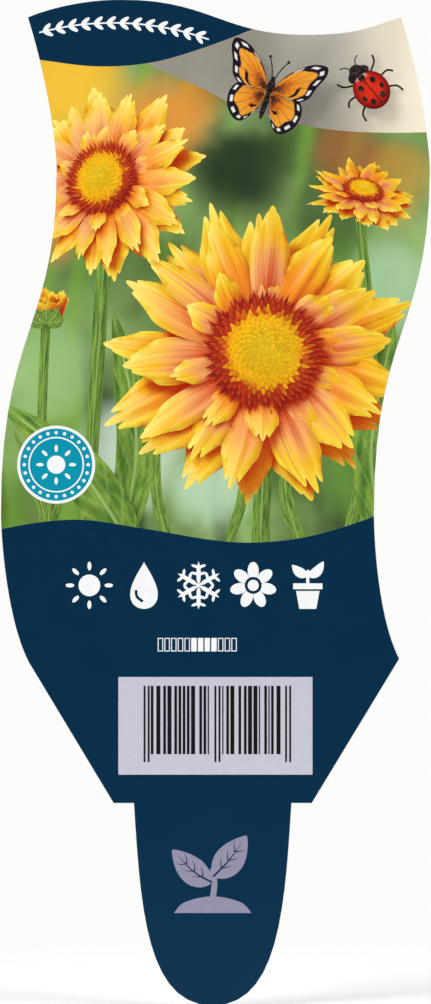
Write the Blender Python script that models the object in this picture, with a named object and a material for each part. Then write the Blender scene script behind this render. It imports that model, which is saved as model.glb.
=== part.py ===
"""A stick-in plant label: one die-cut sheet of printed plastic, with a wavy picture head that tapers
to two shoulders, and a round-tipped stake that goes into the soil of a pot.

The label stands upright. X runs to the right as the printed front is read, Z runs up, and the front
faces -Y. The origin is on the back face, where the stake's centreline meets the line of the two
shoulders, which is as far as the label is pushed in.

Sizes are in millimetres, and MM turns them into metres. A point is (x, z), and a reach is the step
from a knot of the outline to its handle.
"""

from math import radians

import bpy

MM = 0.001

# The sheet
SHEET_THICKNESS = 0.5

# The head's top edge rises from the left corner to a crest, and falls to a trough.
TOP_CORNER = (-31.5, 133.85)
TOP_CREST = (-15.6, 136.9)
TOP_TROUGH = (15.7, 130.9)
CREST_REACH = (7.3, 15.2)
TROUGH_REACH = (14.0, 10.0)
TOP_REACH_AT_LEFT = (2.1, 1.0)
TOP_REACH_AT_RIGHT = (-5.0, -1.3)

# The head's left edge is a longer wave, and its right edge is the same wave, HEAD_WIDTH away.
HEAD_WIDTH = 63.6
SIDE_BULGE = (-26.6, 107.9)
SIDE_HOLLOW = (-36.1, 49.5)
SIDE_REACH_AT_TOP = (3.7, -11.9)
BULGE_REACH = (3.4, 27.6)
HOLLOW_REACH = (31.8, 5.1)
SIDE_REACH_AT_FOOT = (-3.5, 6.8)

# The waves end at the head's foot, and straight tapers run from there to the shoulders.
FOOT_LEFT = (-31.4, 24.1)
FOOT_RIGHT = (31.8, 24.6)
SHOULDER_HALF_WIDTH = 16.9

# The stake narrows a little on its way down, and its tip is round.
STAKE_HALF_WIDTH = 13.45
STAKE_LENGTH = 34.5
STAKE_TAPER_REACH = (1.1, 17.9)
STAKE_TIP_REACH = 11.3

STEPS_PER_STRETCH = 14
NAVY_INK = (0.0037, 0.0307, 0.0723, 1.0)
INK_ROUGHNESS = 0.4


def clear_scene():
    for old in list(bpy.data.objects):
        bpy.data.objects.remove(old)


def moved(point, step):
    return (point[0] + step[0], point[1] + step[1])


def knot(point, arrive=(0, 0), leave=(0, 0)):
    """A point of the outline and its two handles. With no reach on it, a side is straight."""
    return point, moved(point, arrive), moved(point, leave)


def head_outline():
    """From the left foot over the head to the right foot, clockwise as the front is read."""
    bulge_up, bulge_down = BULGE_REACH
    hollow_up, hollow_down = HOLLOW_REACH
    across = (HEAD_WIDTH, 0)
    return [
        knot(FOOT_LEFT, leave=SIDE_REACH_AT_FOOT),
        knot(SIDE_HOLLOW, (0, -hollow_down), (0, hollow_up)),
        knot(SIDE_BULGE, (0, -bulge_down), (0, bulge_up)),
        knot(TOP_CORNER, SIDE_REACH_AT_TOP, TOP_REACH_AT_LEFT),
        knot(TOP_CREST, (-CREST_REACH[0], 0), (CREST_REACH[1], 0)),
        knot(TOP_TROUGH, (-TROUGH_REACH[0], 0), (TROUGH_REACH[1], 0)),
        knot(moved(TOP_CORNER, across), TOP_REACH_AT_RIGHT, SIDE_REACH_AT_TOP),
        knot(moved(SIDE_BULGE, across), (0, bulge_up), (0, -bulge_down)),
        knot(moved(SIDE_HOLLOW, across), (0, hollow_up), (0, -hollow_down)),
        knot(FOOT_RIGHT, arrive=SIDE_REACH_AT_FOOT),
    ]


def stake_outline():
    """From the right shoulder round the tip to the left shoulder, clockwise."""
    inward, down = STAKE_TAPER_REACH
    return [
        knot((SHOULDER_HALF_WIDTH, 0)),
        knot((STAKE_HALF_WIDTH, 0), leave=(-inward, -down)),
        knot((0, -STAKE_LENGTH), (STAKE_TIP_REACH, 0), (-STAKE_TIP_REACH, 0)),
        knot((-STAKE_HALF_WIDTH, 0), arrive=(inward, -down)),
        knot((-SHOULDER_HALF_WIDTH, 0)),
    ]


def cut_sheet(name, knots):
    """A filled 2D curve through the knots, as thick as the sheet."""
    curve = bpy.data.curves.new(name, "CURVE")
    curve.dimensions = "2D"
    curve.fill_mode = "BOTH"
    curve.resolution_u = STEPS_PER_STRETCH
    curve.extrude = SHEET_THICKNESS / 2 * MM
    spline = curve.splines.new("BEZIER")
    spline.bezier_points.add(len(knots) - 1)
    spline.use_cyclic_u = True
    for bezier, (point, arrive, leave) in zip(spline.bezier_points, knots):
        bezier.handle_left_type = "FREE"
        bezier.handle_right_type = "FREE"
        bezier.co = (point[0] * MM, point[1] * MM, 0)
        bezier.handle_left = (arrive[0] * MM, arrive[1] * MM, 0)
        bezier.handle_right = (leave[0] * MM, leave[1] * MM, 0)
    return curve


def printed_plastic():
    material = bpy.data.materials.new("printed_plastic")
    material.use_nodes = True
    surface = material.node_tree.nodes["Principled BSDF"]
    surface.inputs["Base Color"].default_value = NAVY_INK
    surface.inputs["Roughness"].default_value = INK_ROUGHNESS
    surface.inputs["Metallic"].default_value = 0.0
    return material


def make_label():
    """The sheet is drawn flat and turned up about X, so its front faces -Y and its back lies at Y 0."""
    label = bpy.data.objects.new("label", cut_sheet("label", head_outline() + stake_outline()))
    label.data.materials.append(printed_plastic())
    label.rotation_euler = (radians(90), 0, 0)
    label.location = (0, -SHEET_THICKNESS / 2 * MM, 0)
    parts = bpy.data.collections.new("plant_label")
    bpy.context.scene.collection.children.link(parts)
    parts.objects.link(label)


clear_scene()
make_label()
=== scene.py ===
"""A stick-in plant label as it looks: one die-cut sheet of white plastic, printed in full colour.

The picture on its front is laid out as a collage: petals, florets, leaves, insects, bands and marks
stand in front of each other as shapes, in millimetres, with the reader looking along +Y. The collage
is lit, then pressed flat into the label's front face, where the edge of every shape becomes an edge
of the mesh. Each ink is a material that reads what its shape had on the collage: how far along and
across the shape a point is, the shape's own tone, and the light that falls there.
"""

from math import cos, pi, radians, sin

import bmesh
import bpy
import numpy as np
from mathutils import Euler, Matrix, Vector
from mathutils.bvhtree import BVHTree
from mathutils.geometry import delaunay_2d_cdt


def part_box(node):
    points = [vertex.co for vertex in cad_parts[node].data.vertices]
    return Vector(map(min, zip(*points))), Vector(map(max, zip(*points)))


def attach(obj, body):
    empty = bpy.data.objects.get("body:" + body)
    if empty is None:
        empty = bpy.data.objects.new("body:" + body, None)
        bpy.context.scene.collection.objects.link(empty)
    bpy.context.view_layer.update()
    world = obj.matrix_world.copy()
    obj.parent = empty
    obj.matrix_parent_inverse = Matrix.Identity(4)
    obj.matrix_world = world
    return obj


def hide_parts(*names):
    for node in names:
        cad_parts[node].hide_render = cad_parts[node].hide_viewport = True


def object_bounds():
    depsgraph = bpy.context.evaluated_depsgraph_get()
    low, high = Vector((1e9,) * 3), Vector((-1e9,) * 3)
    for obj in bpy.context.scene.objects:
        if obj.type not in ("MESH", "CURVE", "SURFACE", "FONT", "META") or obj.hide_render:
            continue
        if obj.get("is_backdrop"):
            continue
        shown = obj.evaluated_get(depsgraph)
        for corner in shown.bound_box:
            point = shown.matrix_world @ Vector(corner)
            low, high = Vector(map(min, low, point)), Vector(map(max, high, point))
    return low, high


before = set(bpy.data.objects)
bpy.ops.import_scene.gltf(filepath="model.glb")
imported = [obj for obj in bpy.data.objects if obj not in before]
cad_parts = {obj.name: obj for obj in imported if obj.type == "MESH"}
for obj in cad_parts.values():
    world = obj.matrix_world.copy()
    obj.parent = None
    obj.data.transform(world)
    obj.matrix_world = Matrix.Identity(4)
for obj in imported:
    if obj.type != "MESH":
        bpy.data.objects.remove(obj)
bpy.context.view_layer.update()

MM = 0.001

# Where the reader and the flat layers of the collage stand. A smaller Y is nearer to the reader.
READER = -90.0
GARDEN_DEPTH = 40.0
STRIP_DEPTH = -34.0
FIELD_DEPTH = -42.0
MARK_DEPTH = -46.0
FINE_MARK_DEPTH = -48.0

# The sheet's cut edge is broken by this much. The points of the print are this far apart: fine where an
# ink is lit, and coarse elsewhere. Those of the back keep a margin from its rim.
EDGE_BREAK = 0.04
FINE_PITCH = 0.55
COARSE_PITCH = 3.0
BACK_PITCH = 2.2
BACK_MARGIN = 0.8


def both_ways(operation):
    """The two methods behind an operator: for a wire on its left, and for one on its right."""
    return (
        lambda wire, other: wire.math(operation, wire, other),
        lambda wire, other: wire.math(operation, other, wire),
    )


class Wire:
    """A socket of a node tree. Sums of wires and numbers add Math nodes to its board."""

    __add__, __radd__ = both_ways("ADD")
    __sub__, __rsub__ = both_ways("SUBTRACT")
    __mul__, __rmul__ = both_ways("MULTIPLY")
    __truediv__, __rtruediv__ = both_ways("DIVIDE")
    __pow__, __rpow__ = both_ways("POWER")

    def __init__(self, board, socket):
        self.board = board
        self.socket = socket

    def beside(self, pick):
        """Another output of the same node."""
        return Wire(self.board, self.socket.node.outputs[pick])

    def math(self, operation, *values):
        return self.board.add("ShaderNodeMath", {"operation": operation}, dict(enumerate(values)))

    def sin(self):
        return self.math("SINE", self)

    def cos(self):
        return self.math("COSINE", self)

    def abs(self):
        return self.math("ABSOLUTE", self)

    def rounded(self):
        return self.math("ROUND", self)

    def larger(self, other):
        return self.math("MAXIMUM", self, other)

    def ramp(self, low, high):
        """0 below low, 1 above high, and smooth between them."""
        smooth = {"interpolation_type": "SMOOTHSTEP"}
        return self.board.add("ShaderNodeMapRange", smooth, {0: self, 1: low, 2: high})


class Board:
    """A node tree, with one method that puts any node on it."""

    def __init__(self, tree):
        self.tree = tree

    def add(self, kind, settings=None, inputs=None, pick=0):
        node = self.tree.nodes.new(kind)
        for key, value in (settings or {}).items():
            if key == "stops":
                self.set_stops(node.color_ramp, value)
            else:
                setattr(node, key, value)
        for key, value in (inputs or {}).items():
            self.feed(node.inputs[key], value)
        return Wire(self, node.outputs[pick])

    def set_stops(self, ramp, stops):
        while len(ramp.elements) < len(stops):
            ramp.elements.new(1.0)
        for element, (place, colour) in zip(ramp.elements, stops):
            element.position = place
            element.color = colour

    def feed(self, socket, value):
        if isinstance(value, Wire):
            self.tree.links.new(value.socket, socket)
        else:
            socket.default_value = value

    def mixed(self, first, second, share):
        """The first colour where share is 0, and the second where it is 1."""
        return self.add("ShaderNodeMix", {"data_type": "RGBA"}, {0: share, 6: first, 7: second}, 2)

    def times(self, first, second):
        """The product of two colours."""
        settings = {"data_type": "RGBA", "blend_type": "MULTIPLY"}
        return self.add("ShaderNodeMix", settings, {0: 1.0, 6: first, 7: second}, 2)

    def shaded(self, colour, light):
        """A colour scaled by a wire of light."""
        colour = colour[:3] if isinstance(colour, tuple) else colour
        return self.add("ShaderNodeVectorMath", {"operation": "SCALE"}, {0: colour, 3: light})

    def vector(self, x, y, z):
        return self.add("ShaderNodeCombineXYZ", None, {0: x, 1: y, 2: z})

    def split(self, vector):
        x = self.add("ShaderNodeSeparateXYZ", None, {0: vector})
        return x, x.beside(1), x.beside(2)

    def stepped(self, factor, stops):
        """A colour ramp over the factor."""
        return self.add("ShaderNodeValToRGB", {"stops": stops}, {0: factor})

    def noise(self, place, scale, detail=2.0, roughness=0.5):
        inputs = {"Scale": scale, "Detail": detail, "Roughness": roughness, "Vector": place}
        return self.add("ShaderNodeTexNoise", None, inputs)


def srgb(red, green, blue):
    """A colour as printed, from 0 to 255, in the linear values that nodes take."""

    def linear(value):
        value = value / 255
        return value / 12.92 if value <= 0.04045 else ((value + 0.055) / 1.055) ** 2.4

    return (linear(red), linear(green), linear(blue), 1.0)


NAVY = srgb(2, 46, 74)
TEAL = srgb(0, 150, 176)
WHITE = srgb(250, 251, 250)
LILAC = srgb(201, 199, 212)
LILAC_GREY = srgb(146, 142, 165)
BAR_BLACK = srgb(22, 21, 24)


# Inks


def place_on_sheet(board):
    """Object coordinates, in metres, turned so that X is across the label and Y up it."""
    x, y, z = board.split(board.add("ShaderNodeTexCoord", None, None, 3))
    return board.vector(x, z, y)


HELD = ("along", "across", "tone", "light")
TONE = HELD.index("tone")
LIGHT = HELD.index("light")


def held(board, *names):
    """What the collage stored on the mesh: places along and across the shape, its tone, or the light."""
    return [board.add("ShaderNodeAttribute", {"attribute_name": name}, None, 2) for name in names]


def ink(name, colour, roughness):
    """A printed and varnished surface. colour is a colour, or a function that makes one on the board."""
    material = bpy.data.materials.new(name)
    material.use_nodes = True
    board = Board(material.node_tree)
    place = place_on_sheet(board)
    surface = material.node_tree.nodes["Principled BSDF"]
    if callable(colour):
        printed = colour(board, place)
    else:
        mottle = board.noise(place, 900.0, 3.0) * 0.10 + 0.95
        printed = board.shaded(colour, mottle)
    board.feed(surface.inputs["Base Color"], printed)
    wear = board.noise(place, 90.0, 4.0, 0.6)
    board.feed(surface.inputs["Roughness"], wear * 0.14 + (roughness - 0.07))
    grain = board.noise(place, 2600.0, 2.0)
    bump = board.add("ShaderNodeBump", None, {"Strength": 0.06, "Distance": 0.00004, "Height": grain})
    board.feed(surface.inputs["Normal"], bump)
    surface.inputs["Specular IOR Level"].default_value = 0.14
    return material


def petal_colour(board, place):
    """Peach petals that turn yellow towards their tips and edges, with fine veins and red-orange shade."""
    along, across, tone, light = held(board, *HELD)
    veins = board.noise(board.vector(across * 8.0, along * 0.8, tone * 60.0), 1.0, 3.0, 0.6)
    blotch = board.noise(board.vector(across * 1.4, along * 2.0, tone * 90.0), 1.0, 2.0)
    edge = across * across
    ripe = along * 1.05 + edge * along * 0.42 + (veins - 0.5) * 0.55 + (blotch - 0.5) * 0.50
    flush = (along * 1.25 + edge * 0.9 + (veins - 0.5) * 0.7).ramp(0.25, 0.95)
    peach = board.mixed(srgb(252, 170, 104), srgb(252, 146, 36), tone.ramp(0.25, 0.75))
    fine_veins = board.noise(board.vector(across * 20.0, along * 1.2, tone * 50.0), 1.0, 2.0, 0.6)
    peach = board.mixed(peach, srgb(232, 104, 52), fine_veins.ramp(0.50, 0.70) * 0.45)
    peach = board.mixed(peach, srgb(220, 66, 22), (1.0 - flush) * (tone * 5.0).sin().ramp(0.1, 0.9) * 0.85)
    colour = board.mixed(srgb(222, 78, 40), peach, ripe.ramp(0.04, 0.38))
    colour = board.mixed(colour, srgb(252, 190, 30), ripe.ramp(0.48, 0.86))
    colour = board.mixed(colour, srgb(255, 224, 70), ripe.ramp(0.80, 1.16))
    colour = board.mixed(colour, srgb(255, 240, 150), light.ramp(0.90, 1.16) * along * 0.50)
    shade = board.mixed(srgb(226, 92, 26), srgb(255, 255, 255), light.ramp(0.15, 0.90))
    streak = (veins - 0.5) * 0.50 + (fine_veins - 0.5) * 0.36 + 1.0
    return board.shaded(board.times(colour, shade), streak * (light * 0.52 + 0.51))


def floret_colour(board, place):
    along, across, tone, light = held(board, *HELD)
    ring = board.stepped(
        along + (tone - 0.5) * 0.16,
        [
            (0.00, srgb(255, 206, 40)),
            (0.40, srgb(255, 200, 24)),
            (0.68, srgb(250, 176, 16)),
            (0.78, srgb(206, 62, 24)),
            (1.00, srgb(170, 34, 26)),
        ],
    )
    tips = board.mixed(ring, srgb(255, 214, 60), across.ramp(0.6, 1.3) * (1.0 - along.ramp(0.55, 0.8) * 0.72))
    return board.shaded(tips, light * 0.60 + 0.66 - along.ramp(0.0, 0.6) * 0.16)


def leaf_colour(board, place):
    along, across, tone, light = held(board, *HELD)
    side_veins = ((along * 46.0 - across.abs() * 9.0).sin()).ramp(0.55, 1.0)
    rib = 1.0 - across.abs().ramp(0.02, 0.12)
    mottle = board.noise(board.vector(across * 3.0, along * 9.0, tone * 40.0), 1.0, 3.0)
    green = board.mixed(srgb(68, 112, 42), srgb(142, 176, 70), mottle.ramp(0.25, 0.78))
    green = board.mixed(green, srgb(172, 200, 116), (rib * 0.75).larger(side_veins * 0.22))
    return board.shaded(green, light * 0.80 + 0.18 + (tone - 0.5) * 0.2)


GLOWS = [
    ((-25.0, 122.0), 12.0, srgb(254, 200, 56), 0.95),
    ((-8.0, 116.0), 10.0, srgb(244, 150, 52), 0.80),
    ((-30.0, 100.0), 9.0, srgb(240, 120, 40), 0.55),
    ((31.0, 106.0), 8.0, srgb(226, 158, 60), 0.50),
    ((22.0, 111.0), 7.0, srgb(196, 96, 60), 0.50),
    ((30.0, 88.0), 9.0, srgb(182, 220, 176), 0.70),
    ((-27.0, 74.0), 9.0, srgb(168, 206, 140), 0.60),
    ((-14.0, 60.0), 10.0, srgb(212, 234, 206), 0.82),
    ((0.0, 53.0), 7.5, srgb(200, 230, 194), 0.75),
    ((24.0, 56.0), 8.0, srgb(110, 158, 66), 0.60),
    ((4.0, 108.0), 9.5, srgb(34, 48, 32), 0.94),
    ((20.0, 100.0), 8.0, srgb(58, 82, 48), 0.65),
]


def garden_colour(board, place):
    """The garden behind the flowers, out of focus: soft greens, upright stems and glows of other blooms."""
    x, z, depth = board.split(place)
    drift = board.noise(place, 34.0, 2.0, 0.45)
    fine = board.noise(place, 110.0, 2.0, 0.5)
    garden = board.mixed(srgb(80, 108, 50), srgb(158, 190, 118), (drift * 0.8 + fine * 0.2).ramp(0.36, 0.66))
    bent = x + (board.noise(place, 16.0, 1.0) - 0.5) * 0.026
    upright = board.noise(board.vector(bent * 150.0, z * 9.0, 3.0), 1.0, 1.0)
    garden = board.mixed(garden, srgb(126, 174, 62), upright.ramp(0.50, 0.68) * 0.7)
    shade = board.noise(board.vector(bent * 120.0, z * 12.0, 9.0), 1.0, 1.0)
    garden = board.mixed(garden, srgb(38, 54, 36), shade.ramp(0.55, 0.72) * 0.8)
    for (glow_x, glow_z), radius, colour, strength in GLOWS:
        away_x = (x - glow_x * MM + (drift - 0.5) * 0.010) * (1 / (radius * MM))
        away_z = (z - glow_z * MM + (fine - 0.5) * 0.008) * (1 / (radius * MM))
        away = away_x * away_x + away_z * away_z
        garden = board.mixed(garden, colour, (1.0 - away.ramp(0.05, 1.25)) * strength)
    return garden


def strip_colour(board, place):
    """The pale strip behind the insects: warm grey that brightens to cream at the right."""
    x, z, depth = board.split(place)
    [light] = held(board, "light")
    cloud = board.noise(place, 42.0, 2.0, 0.5)
    grey = board.mixed(srgb(152, 146, 133), srgb(180, 175, 163), cloud.ramp(0.35, 0.7))
    cream = board.mixed(grey, srgb(255, 242, 215), (x * 46.0 - z * 6.0 + cloud * 0.5 - 0.35).ramp(0.0, 0.85))
    return board.shaded(cream, light * 0.55 + 0.45)


def wing_colour(board, place):
    """A butterfly's wing: orange, dark at its rim and root, with dark veins and a row of pale spots."""
    along, across, tone, light = held(board, *HELD)
    scales = board.noise(place, 1500.0, 2.0)
    cells = (across * 15.0).cos()
    orange = board.mixed(srgb(222, 108, 22), srgb(246, 164, 48), (along + scales * 0.3).ramp(0.3, 0.9))
    rim = (along + cells * 0.035 + (scales - 0.5) * 0.05).ramp(0.76, 0.80)
    root = 1.0 - (along + (scales - 0.5) * 0.3).ramp(0.10, 0.42)
    vein = 1.0 - cells.abs().ramp(0.06, 0.16)
    band = (along - tone).abs()
    patch = (1.0 - (band + (scales - 0.5) * 0.04).ramp(0.035, 0.06)) * across.ramp(0.0, 0.15)
    dark = rim.larger(root * 0.9).larger(vein * 0.8).larger(patch)
    colour = board.mixed(orange, srgb(32, 24, 38), dark)
    spot = (1.0 - (along - 0.89).abs().ramp(0.025, 0.05)) * cells.abs().ramp(0.62, 0.78)
    spot = spot * (1.0 - across.abs().ramp(0.74, 0.82))
    colour = board.mixed(colour, srgb(240, 238, 232), spot)
    return board.shaded(colour, light * 0.55 + 0.45)


def shell_colour(board, place):
    """A ladybird's wing cases: glossy red, darker towards the rim."""
    along, light = held(board, "along", "light")
    colour = board.mixed(srgb(222, 44, 22), srgb(126, 14, 14), along.ramp(0.45, 1.05))
    lit = board.shaded(colour, light * 0.95 + 0.25)
    return board.mixed(lit, srgb(255, 236, 226), light.ramp(1.02, 1.2) * 0.7)


def insect_dark_colour(board, place):
    [light] = held(board, "light")
    hairs = board.noise(place, 1900.0, 3.0, 0.7)
    colour = board.mixed(srgb(28, 22, 24), srgb(104, 84, 74), hairs.ramp(0.45, 0.8))
    return board.shaded(colour, light * 0.9 + 0.25)


def bare_colour(board, place):
    """White plastic. Where the print on the other side is dark, it shows through a little."""
    [ghost] = held(board, "tone")
    cloud = board.noise(place, 60.0, 3.0, 0.5)
    white = board.mixed(srgb(243, 243, 240), srgb(249, 249, 247), cloud.ramp(0.35, 0.65))
    return board.mixed(white, srgb(202, 206, 210), ghost * 0.42)


INKS = {
    name: ink(name, colour, roughness)
    for name, colour, roughness in (
        ("navy_ink", NAVY, 0.34),
        ("teal_ink", TEAL, 0.36),
        ("white_ink", WHITE, 0.36),
        ("lilac_ink", LILAC, 0.36),
        ("lilac_grey_ink", LILAC_GREY, 0.36),
        ("bar_ink", BAR_BLACK, 0.40),
        ("petal_ink", petal_colour, 0.36),
        ("floret_ink", floret_colour, 0.36),
        ("leaf_ink", leaf_colour, 0.36),
        ("garden_ink", garden_colour, 0.36),
        ("strip_ink", strip_colour, 0.36),
        ("wing_ink", wing_colour, 0.36),
        ("shell_ink", shell_colour, 0.36),
        ("insect_dark_ink", insect_dark_colour, 0.36),
        ("bare_plastic", bare_colour, 0.40),
    )
}

# The inks of things that stand up from the collage, and of those and what their shadows fall on
SHAPED_INKS = ("petal_ink", "floret_ink", "leaf_ink", "wing_ink", "shell_ink", "insect_dark_ink")
LIT_INKS = (*SHAPED_INKS, "strip_ink")


# Trees that repeat a shape


def planned(name, sizes):
    """A geometry tree with a named input for each size: its board, and the inputs as wires."""
    board = Board(bpy.data.node_groups.new(name, "GeometryNodeTree"))
    sockets = board.tree.interface
    for title, value in sizes.items():
        kind = "NodeSocketInt" if isinstance(value, int) else "NodeSocketFloat"
        sockets.new_socket(title, in_out="INPUT", socket_type=kind).default_value = value
    sockets.new_socket("Shapes", in_out="OUTPUT", socket_type="NodeSocketGeometry")
    entry = board.tree.nodes.new("NodeGroupInput")
    return board, {title: Wire(board, entry.outputs[title]) for title in sizes}


def stored(board, shapes, name, value):
    inputs = {"Geometry": shapes, "Name": name, "Value": value}
    return board.add("GeometryNodeStoreNamedAttribute", None, inputs)


def read(board, name):
    return board.add("GeometryNodeInputNamedAttribute", None, {"Name": name})


def own_place(board):
    """Where each point of a shape is before it is moved, as x, y and z."""
    return board.split(board.add("GeometryNodeInputPosition"))


def numbered(board, count):
    """Points at the origin, each with its own number stored on it."""
    points = board.add("GeometryNodePoints", None, {"Count": count})
    return stored(board, points, "number", board.add("GeometryNodeInputIndex"))


def copied(board, points, shape):
    """A copy of a shape for each point, made real, with what is stored on the point."""
    copies = board.add("GeometryNodeInstanceOnPoints", None, {"Points": points, "Instance": shape})
    return board.add("GeometryNodeRealizeInstances", None, {"Geometry": copies})


def drawn(board, seed, low=0.0, high=1.0):
    """A random number for each copy, the same each time for one seed."""
    inputs = {2: low, 3: high, 7: read(board, "number"), 8: seed}
    return board.add("FunctionNodeRandomValue", {"data_type": "FLOAT"}, inputs, 1)


def finished(board, shapes, x, y, z, ink_name):
    """Moves every point of the shapes to x, y, z, and ends the tree with their ink."""
    inputs = {"Geometry": shapes, "Position": board.vector(x, y, z)}
    moved = board.add("GeometryNodeSetPosition", None, inputs)
    real = board.add("GeometryNodeRealizeInstances", None, {"Geometry": moved})
    inked = board.add("GeometryNodeSetMaterial", None, {"Geometry": real, "Material": INKS[ink_name]})
    board.tree.links.new(inked.socket, board.tree.nodes.new("NodeGroupOutput").inputs[0])


def grown(board, sizes):
    """The plain mesh that a tree makes with these sizes."""
    mesh = bpy.data.meshes.new(board.tree.name)
    holder = bpy.data.objects.new(mesh.name, mesh)
    bpy.context.scene.collection.objects.link(holder)
    grower = holder.modifiers.new(mesh.name, "NODES")
    grower.node_group = board.tree
    for item in board.tree.interface.items_tree:
        if item.in_out == "INPUT":
            grower[item.identifier] = type(item.default_value)(sizes.get(item.name, item.default_value))
    graph = bpy.context.evaluated_depsgraph_get()
    grown_mesh = bpy.data.meshes.new_from_object(holder.evaluated_get(graph))
    holder.modifiers.remove(grower)
    bpy.data.objects.remove(holder)
    return grown_mesh


def turned(out, side, angle):
    """x and z of what lies this far out and to the side, turned by an angle round the centre."""
    return out * angle.cos() - side * angle.sin(), out * angle.sin() + side * angle.cos()


def petal_ring_tree():
    """A ring of petals round a hub, each a grid bent into a petal with three teeth at its tip."""
    sizes = {
        "Count": 14, "Hub": 3.5, "Length": 18.0, "Half width": 3.6, "Rise": 0.4, "Droop": 0.3,
        "Cup": 0.3, "Teeth": 0.09, "Turn": 0.0, "Lift": 0.0, "Seed": 1,
    }
    board, size = planned("petal_ring", sizes)

    def varied(step, low, high):
        """A random number for each petal, from a seed of its own."""
        return drawn(board, size["Seed"] + step, low, high)

    grid = {"Size X": 1.0, "Size Y": 1.0, "Vertices X": 19, "Vertices Y": 17}
    petal = board.add("GeometryNodeMeshGrid", None, grid)
    x, y, z = own_place(board)
    petal = stored(board, stored(board, petal, "along", y + 0.5), "across", x * 2.0)
    petals = copied(board, numbered(board, size["Count"]), petal)
    petals = stored(board, petals, "tone", drawn(board, size["Seed"]))
    along, across = read(board, "along"), read(board, "across")
    length = size["Length"] * (1.0 + varied(1, -0.14, 0.10))
    width = size["Half width"] * (1.0 + varied(2, -0.22, 0.14))
    lobes = (across * (1.5 * pi)).cos().abs() ** 0.8
    teeth = size["Teeth"] * (1.0 + varied(8, -0.8, 0.8))
    reach = along + (teeth * (lobes - 1.0) - across * across * (0.30 - teeth * 0.6)) * along**5.0
    wide = width * (along**0.9 * (0.70 * pi) + 0.08 * pi).sin()
    side = across * wide + varied(3, -0.10, 0.10) * length * reach * reach
    run = length * reach
    rise = size["Rise"] + varied(4, -0.06, 0.06)
    droop = size["Droop"] * (1.0 + varied(5, -0.5, 0.5))
    twist = 0.20 + varied(6, -0.12, 0.12)
    ridges = (across * (3 * pi)).cos() * (along * pi).sin() * wide * 0.09
    height = size["Lift"] + run * rise.sin() - droop * run * reach - size["Cup"] * across * across * wide
    height = height + ridges + twist * across * wide
    radius = size["Hub"] + run * rise.cos()
    number = read(board, "number") + varied(7, -0.22, 0.22)
    x, z = turned(radius, side, number * (2 * pi) / size["Count"] + size["Turn"])
    finished(board, petals, x, height * -1.0, z, "petal_ink")
    return board


GOLDEN_ANGLE = 2.39996


def floret_dome_tree():
    """A domed disc of pointed florets, set out in the spiral that such discs grow in."""
    sizes = {"Count": 240, "Radius": 7.0, "Height": 3.0, "Floret": 0.52, "Lift": 0.0, "Seed": 1}
    board, size = planned("floret_dome", sizes)
    cone = {"Vertices": 6, "Side Segments": 2, "Radius Top": 0.10, "Radius Bottom": 1.0, "Depth": 1.0}
    floret = board.add("GeometryNodeMeshCone", None, cone)
    x, y, z = own_place(board)
    floret = stored(board, floret, "across", z)
    florets = copied(board, numbered(board, size["Count"]), floret)
    florets = stored(board, florets, "tone", drawn(board, size["Seed"]))
    number = read(board, "number")
    share = ((number + 0.5) / size["Count"]) ** 0.5
    florets = stored(board, florets, "along", share)
    stretch = 1.6 + share.ramp(0.5, 1.0) * 2.4
    lean = share * 1.05 + drawn(board, size["Seed"] + 1, -0.16, 0.16)
    base = size["Floret"] * (0.75 + share * 0.4)
    outward = x * base
    sideways = y * base
    up = z * base * stretch
    radius = size["Radius"] * share + outward * lean.cos() + up * lean.sin()
    height = size["Height"] * (1.0 - share * share) + up * lean.cos() - outward * lean.sin() + size["Lift"]
    x, z = turned(radius, sideways, number * GOLDEN_ANGLE)
    finished(board, florets, x, height * -1.0, z, "floret_ink")
    return board


def round_marks_tree(ink_name):
    """Flat marks set round a centre: rays, petals or dots, with as many corners as they need."""
    sizes = {
        "Count": 8, "Radius": 2.0, "First": 0.0, "Step": 0.5, "Length": 1.0, "Width": 0.5,
        "Corners": 16, "Turn": 0.0,
    }
    board, size = planned("round_marks_" + ink_name, sizes)
    mark = board.add("GeometryNodeMeshCircle", {"fill_type": "NGON"}, {"Vertices": size["Corners"]})
    marks = copied(board, numbered(board, size["Count"]), mark)
    x, y, z = own_place(board)
    long_way = x * size["Length"] * 0.5
    short_way = y * size["Width"] * 0.5
    out = size["Radius"] + long_way * size["Turn"].cos() - short_way * size["Turn"].sin()
    side = long_way * size["Turn"].sin() + short_way * size["Turn"].cos()
    x, z = turned(out, side, size["First"] + size["Step"] * read(board, "number"))
    finished(board, marks, x, 0.0, z, ink_name)
    return board


def unit_square(board):
    grid = {"Size X": 1.0, "Size Y": 1.0, "Vertices X": 2, "Vertices Y": 2}
    return board.add("GeometryNodeMeshGrid", None, grid)


def box_row_tree(ink_name):
    """A row of flat boxes."""
    sizes = {"Count": 12, "Pitch": 1.0, "Width": 0.8, "Height": 0.8}
    board, size = planned("box_row_" + ink_name, sizes)
    boxes = copied(board, numbered(board, size["Count"]), unit_square(board))
    x, y, z = own_place(board)
    across = x * size["Width"] + size["Pitch"] * read(board, "number")
    finished(board, boxes, across, 0.0, y * size["Height"], ink_name)
    return board


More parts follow.
